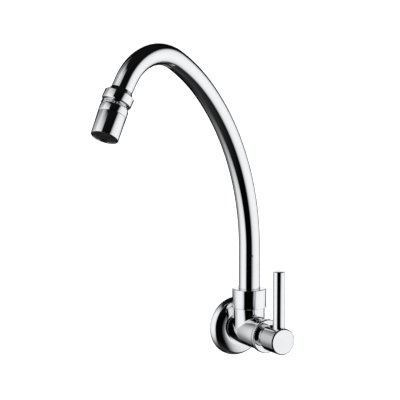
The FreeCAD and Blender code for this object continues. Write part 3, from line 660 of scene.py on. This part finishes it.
def buildAerator():
    s = aeratorShape
    centre = (0, layout["ball"])
    cupR = math.hypot(s["rimInner"], s["rimAt"] - centre[1])
    a0 = math.degrees(math.asin((s["cupFloor"] - centre[1]) / cupR))
    a1 = math.degrees(math.asin((s["rimAt"] - centre[1]) / cupR))
    cup = arcCorners(centre, cupR, a0, a1, 6)
    ring = turn("aeratorRing", [(s["neckBore"], s["cupFloor"])] + cup + [
        (s["ringRadius"] - s["lip"], s["rimAt"] + s["lipRise"]),
        (s["ringRadius"], s["rimAt"] + s["rimRound"]),
        (s["ringRadius"], s["seamAt"] - s["seam"]), (s["ringRadius"] - s["seam"], s["seamAt"]),
        (s["threadRadius"], s["seamAt"]), (s["threadRadius"], s["underFloor"]),
        (s["neckBore"], s["underFloor"]),
    ], segments=128, bevel=0.1, bevelSegments=2)
    place(ring, outletPlace)
    finishPiece(ring, "aerator", "aerator_ring", chromeTurned)

    spigot = s["threadRadius"] - s["spigotPlay"]
    middle = (s["sleeveEnd"] - s["endRound"], s["sleeveLast"] - s["endRound"])
    ending = arcCorners(middle, s["endRound"], 0, 90, 6)
    sleeve = turn("aeratorSleeve", [
        (s["ledge"], s["spigotAt"]), (spigot, s["spigotAt"]), (spigot, s["seamAt"]),
        (s["sleeveTop"] - s["seam"], s["seamAt"]), (s["sleeveTop"], s["seamAt"] + s["seam"]), *ending,
        (s["sleeveBore"], s["sleeveLast"]), (s["sleeveBore"], s["ledgeEnd"]), (s["ledge"], s["ledgeEnd"]),
    ], segments=128, bevel=0.1, bevelSegments=2)
    place(sleeve, outletPlace)
    finishPiece(sleeve, "aerator", "aerator_sleeve", chromeTurned)


insertShape = {
    "radius": 10.6, "top": 24.2, "face": 41.5, "wall": 1.2, "rim": 0.9, "plate": 3.0,
    "ribs": 11, "ribWidth": 1.15, "ribDepth": 1.6, "angle": 35.0,
    "ribPlay": 0.05, "ribSunk": 0.15, "ribEdge": 0.18,
}


def buildInsert():
    s = insertShape
    inner = s["radius"] - s["rim"]
    floor = s["face"] - s["ribDepth"]
    insert = turn("aeratorInsertRibbed", [
        (s["radius"] - s["wall"], s["top"]), (s["radius"], s["top"]), (s["radius"], s["face"]),
        (inner, s["face"]), (inner, floor), (0, floor), (0, s["face"] - s["plate"]),
        (s["radius"] - s["wall"], s["face"] - s["plate"]),
    ], segments=96, bevel=0.12, bevelSegments=2)
    ribs = []
    reach = inner - s["ribPlay"]
    middle = floor + s["ribDepth"] / 2 - s["ribSunk"]
    pitch = 2 * reach / s["ribs"]
    for i in range(s["ribs"]):
        offset = -reach + pitch * (i + 0.5)
        half = math.sqrt(reach ** 2 - offset ** 2)
        deselectAll()
        bpy.ops.mesh.primitive_cube_add(size=1, location=(offset * mm, 0, middle * mm))
        rib = bpy.context.object
        rib.scale = (s["ribWidth"] * mm, 2 * half * mm, s["ribDepth"] * mm)
        bpy.ops.object.transform_apply(location=True, rotation=True, scale=True)
        applyModifier(rib, "edge", "BEVEL", width=s["ribEdge"] * mm, segments=2, harden_normals=False)
        ribs.append(rib)
    deselectAll()
    for rib in ribs:
        rib.select_set(True)
    insert.select_set(True)
    bpy.context.view_layer.objects.active = insert
    bpy.ops.object.join()
    place(insert, Matrix.Rotation(math.radians(s["angle"]), 4, "Z"))
    smoothByAngle(insert, 35)
    place(insert, outletPlace)
    finishPiece(insert, "aerator", "aerator_insert", acetalBlack)


for build in (buildFlange, buildBody, buildCollar, buildBonnet, buildHub, buildLever,
              buildTube, buildTip, buildLock, buildAerator, buildInsert):
    build()
print("pieces: done")


studio = {
    "cameraAzimuth": -30.42,
    "cameraElevation": 9.45,
    "cameraDistance": 2.3663,
    "aim": (-0.02863, 0.01481, 0.11632),
    "lens": 234.85,
    "floorHeight": -0.36,
    "floorHalf": 60.0,
    "panelStrength": 1.16,
    "behindFrom": 169,       # degrees round from the camera where the wall behind begins
    "sunEnergy": 4.2,
    "sunSoftness": 40,       # degrees that the sun spans, for soft shadows
    "farClip": 200,          # metres that the camera sees, past the edge of the floor
}
floorLook = {"light": "#FAFAFA", "dark": "#F6F6F6", "grain": 25.0, "roughness": 0.9}   # grain in mm

# right softbox: brightness by the distance from its middle, degrees
softboxRight = {
    "azimuth": 95, "elevation": -12, "tall": 1.42, "farSide": 1.4,
    "fall": ((0, 0.96), (9, 0.95), (26, 0.92), (34, 0.90), (42, 0.87), (49, 0.80), (56, 0.70), (62.5, 0.50),
             (66.5, 0.30), (69.5, 0.12), (73, 0.0), (80, 0.0)),
}
# left softbox: brightness across and up, degrees; its near edge is rounded off above and below
softboxLeft = {
    "level": -10, "rounding": 0.0115, "spread": -0.0012, "nearFrom": -70,
    "farShare": ((-124, 1.0), (-100, 0.0)),   # where round the camera upFar takes over from up
    "across": ((-180, 0.0), (-142, 0.0), (-139, 0.40), (-126, 0.50), (-114, 0.60), (-104, 0.76), (-94, 0.89),
               (-75, 0.94), (-60, 0.94), (-50, 0.88), (-44, 0.75), (-38, 0.51), (-35, 0.0), (0, 0.0)),
    "up": ((-90, 0.02), (-75, 0.02), (-65, 0.04), (-55, 0.20), (-45, 0.53), (-35, 0.80), (-25, 0.93),
           (-15, 1.0), (36, 1.0), (46, 0.78), (54, 0.50), (58, 0.33), (64, 0.0), (90, 0.0)),
    "upFar": ((-90, 0.0), (-63, 0.0), (-55, 0.09), (-45, 0.20), (-35, 0.30), (-25, 0.42), (-15, 0.62),
              (-9, 0.80), (3, 0.92), (14, 1.0), (25, 0.72), (35, 0.38), (45, 0.24), (55, 0.05), (62, 0.0),
              (90, 0.0)),
}
# a bright wall straight behind the faucet
panelBehind = ((-90, 0.03), (-60, 0.03), (-45, 0.13), (-30, 0.08), (-20, 0.0), (2, 0.0), (5, 0.93),
               (14, 0.93), (17, 0.0), (90, 0.0))
# what is left all round: the dim floor below and a little light from the ceiling
roomLight = ((-90, 0.03), (-75, 0.024), (-65, 0.018), (-55, 0.012), (-45, 0.006), (-35, 0.001), (5, 0.001),
             (25, 0.003), (45, 0.004), (60, 0.006), (90, 0.006))


def addCurve(tree, stops, source):
    # a brightness curve over degrees: the stops run from the lowest value to the highest
    low, high = stops[0][0], stops[-1][0]
    share = addNode(tree, "ShaderNodeMapRange", None, {"From Min": low, "From Max": high, "Value": source})
    ramp = addNode(tree, "ShaderNodeValToRGB", None, {"Fac": share.outputs["Result"]})
    band = ramp.color_ramp
    while len(band.elements) > 1:
        band.elements.remove(band.elements[-1])
    for i, (degrees, value) in enumerate(stops):
        spot = (degrees - low) / (high - low)
        stop = band.elements[0] if i == 0 else band.elements.new(spot)
        stop.position = spot
        stop.color = (value, value, value, 1)
    return ramp.outputs["Color"]


def buildWorld():
    world = bpy.data.worlds.new("studioPanels")
    bpy.context.scene.world = world
    world.use_nodes = True
    tree = world.node_tree
    tree.nodes.clear()
    direction = addNode(tree, "ShaderNodeTexCoord").outputs["Generated"]
    turned = addNode(tree, "ShaderNodeVectorRotate", {"rotation_type": "Z_AXIS"}, {
        "Vector": direction, "Angle": math.radians(90 - studio["cameraAzimuth"])})
    split = addNode(tree, "ShaderNodeSeparateXYZ", None, {"Vector": turned.outputs["Vector"]})
    right, left = softboxRight, softboxLeft
    found = {axis: split.outputs[axis] for axis in "XYZ"}
    # each line makes one value: its name, a sum or a brightness curve, and the numbers or names it takes
    steps = (
        ("aroundRadians", "ARCTAN2", "Y", "X"),
        ("aboveRadians", "ARCSINE", "Z"),
        ("around", "DEGREES", "aroundRadians"),
        ("above", "DEGREES", "aboveRadians"),
        # right softbox: an oval that falls off faster on its far side
        ("aside", "SUBTRACT", "around", right["azimuth"]),
        ("isFarSide", "GREATER_THAN", "aside", 0.0),
        ("stretch", "MULTIPLY_ADD", "isFarSide", right["farSide"] - 1, 1.0),
        ("sideways", "MULTIPLY", "aside", "stretch"),
        ("rise", "SUBTRACT", "above", right["elevation"]),
        ("upwards", "MULTIPLY", "rise", right["tall"]),
        ("upwardsSquared", "MULTIPLY", "upwards", "upwards"),
        ("awaySquared", "MULTIPLY_ADD", "sideways", "sideways", "upwardsSquared"),
        ("away", "SQRT", "awaySquared"),
        ("rightLight", right["fall"], "away"),
        # left softbox: its near edge bends away above and below its level
        ("offLevel", "SUBTRACT", "above", left["level"]),
        ("isHigh", "GREATER_THAN", "offLevel", 0.0),
        ("bend", "MULTIPLY_ADD", "isHigh", left["spread"] - left["rounding"], left["rounding"]),
        ("offSquared", "MULTIPLY", "offLevel", "offLevel"),
        ("shift", "MULTIPLY", "offSquared", "bend"),
        ("isNear", "GREATER_THAN", "around", left["nearFrom"]),
        ("bentAround", "MULTIPLY_ADD", "isNear", "shift", "around"),
        ("leftAround", "MINIMUM", "bentAround", 0.0),
        ("across", left["across"], "leftAround"),
        ("up", left["up"], "above"),
        ("upFar", left["upFar"], "above"),
        ("farShare", left["farShare"], "around"),
        ("farMore", "SUBTRACT", "upFar", "up"),
        ("height", "MULTIPLY_ADD", "farMore", "farShare", "up"),
        ("boxes", "MULTIPLY_ADD", "across", "height", "rightLight"),
        # the wall behind, and what is left all round
        ("turnedAway", "ABSOLUTE", "around"),
        ("isBehind", "GREATER_THAN", "turnedAway", studio["behindFrom"]),
        ("behindLight", panelBehind, "above"),
        ("withBehind", "MULTIPLY_ADD", "isBehind", "behindLight", "boxes"),
        ("room", roomLight, "above"),
        ("all", "ADD", "withBehind", "room"),
        ("strength", "MULTIPLY", "all", studio["panelStrength"]),
    )
    for name, action, *terms in steps:
        inputs = {i: found.get(term, term) for i, term in enumerate(terms)}
        if isinstance(action, str):
            found[name] = addNode(tree, "ShaderNodeMath", {"operation": action}, inputs).outputs["Value"]
        else:
            found[name] = addCurve(tree, action, inputs[0])
    panels = addNode(tree, "ShaderNodeBackground", None, {
        "Color": (1, 1, 1, 1), "Strength": found["strength"]})
    paper = addNode(tree, "ShaderNodeBackground", None, {"Color": (1, 1, 1, 1), "Strength": 1.0})
    seen = addNode(tree, "ShaderNodeLightPath").outputs["Is Camera Ray"]
    mix = addNode(tree, "ShaderNodeMixShader", None, {0: seen, 1: panels.outputs[0], 2: paper.outputs[0]})
    addNode(tree, "ShaderNodeOutputWorld", None, {"Surface": mix.outputs[0]})


def buildFloor():
    # painted board: matt and nearly white, with a faint grain
    deselectAll()
    bpy.ops.mesh.primitive_plane_add(size=2 * studio["floorHalf"], location=(0, 0, studio["floorHeight"]))
    floor = bpy.context.object
    floor.name = "paleFloor"
    mat, tree, shader = newMaterial("paintedFloorPale")
    coords = addNode(tree, "ShaderNodeTexCoord").outputs["Object"]
    grain = addNode(tree, "ShaderNodeTexNoise", None, {
        "Vector": coords, "Scale": 1 / (floorLook["grain"] * mm)}).outputs["Fac"]
    tint = addNode(tree, "ShaderNodeMix", {"data_type": "RGBA"}, {
        "Factor": grain, "A": toLinear(floorLook["light"]), "B": toLinear(floorLook["dark"])})
    tree.links.new(tint.outputs["Result"], shader.inputs["Base Color"])
    shader.inputs["Roughness"].default_value = floorLook["roughness"]
    wear(floor, mat)
    floor.visible_glossy = False


def buildLights():
    deselectAll()
    bpy.ops.object.light_add(type="SUN", location=(0, 0, 3))
    sun = bpy.context.object
    sun.data.energy = studio["sunEnergy"]
    sun.data.angle = math.radians(studio["sunSoftness"])
    sun.visible_glossy = False


def buildCamera():
    deselectAll()
    a, e = math.radians(studio["cameraAzimuth"]), math.radians(studio["cameraElevation"])
    back = Vector((math.sin(a) * math.cos(e), -math.cos(a) * math.cos(e), math.sin(e)))
    bpy.ops.object.camera_add(location=Vector(studio["aim"]) + back * studio["cameraDistance"],
                              rotation=(math.pi / 2 - e, 0, a))
    camera = bpy.context.object
    camera.data.lens = studio["lens"]
    camera.data.clip_end = studio["farClip"]
    bpy.context.scene.camera = camera


buildWorld()
buildFloor()
buildLights()
buildCamera()
bpy.context.scene.view_settings.view_transform = "Standard"
print("studio: done")
